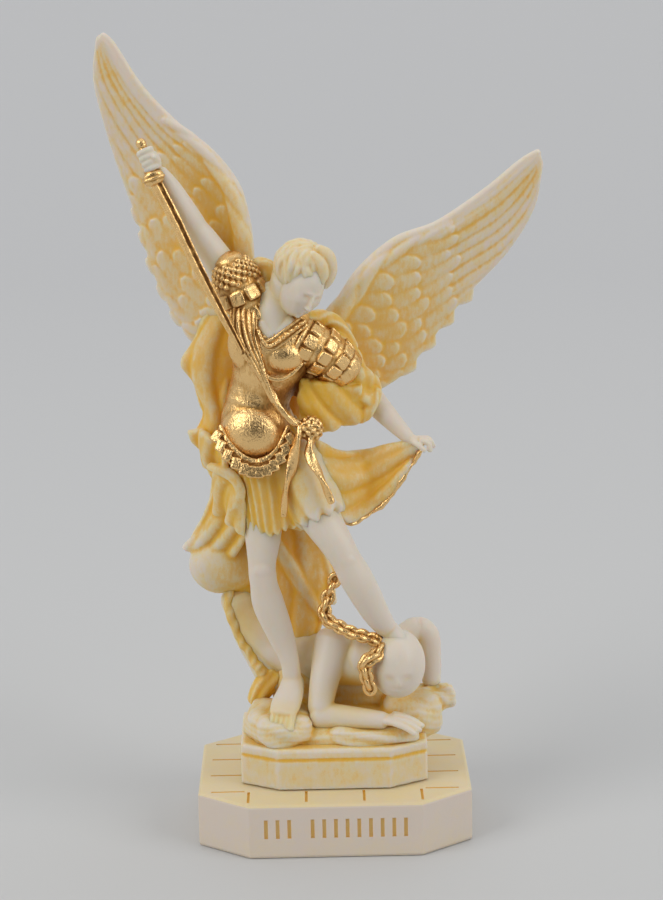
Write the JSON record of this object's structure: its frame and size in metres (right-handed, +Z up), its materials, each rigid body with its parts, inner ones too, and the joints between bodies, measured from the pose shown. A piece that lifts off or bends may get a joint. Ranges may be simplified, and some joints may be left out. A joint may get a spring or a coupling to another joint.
{
  "type": "angel statue",
  "caption": "Small cast resin statue of a winged armoured angel with a raised sword, standing on a fallen figure over a stepped octagonal plinth; it stands on a shelf.",
  "frame": {"origin": "centre of the base block's underside", "axes": "+Z up, -Y towards the viewer (the scored face of the base), +X to the viewer's right"},
  "size_m": [0.0814, 0.0384, 0.1458],
  "materials": {
    "ivory_resin": "satin cast resin with an ochre wash in the hollows and worn gold paint on the armour",
    "ivory_resin_base": "satin cast resin with ochre in the scored lines and strokes"
  },
  "bodies": {
    "root": {"figure_group": "ivory_resin", "base_plinth": "ivory_resin_base"}
  },
  "joints": []
}
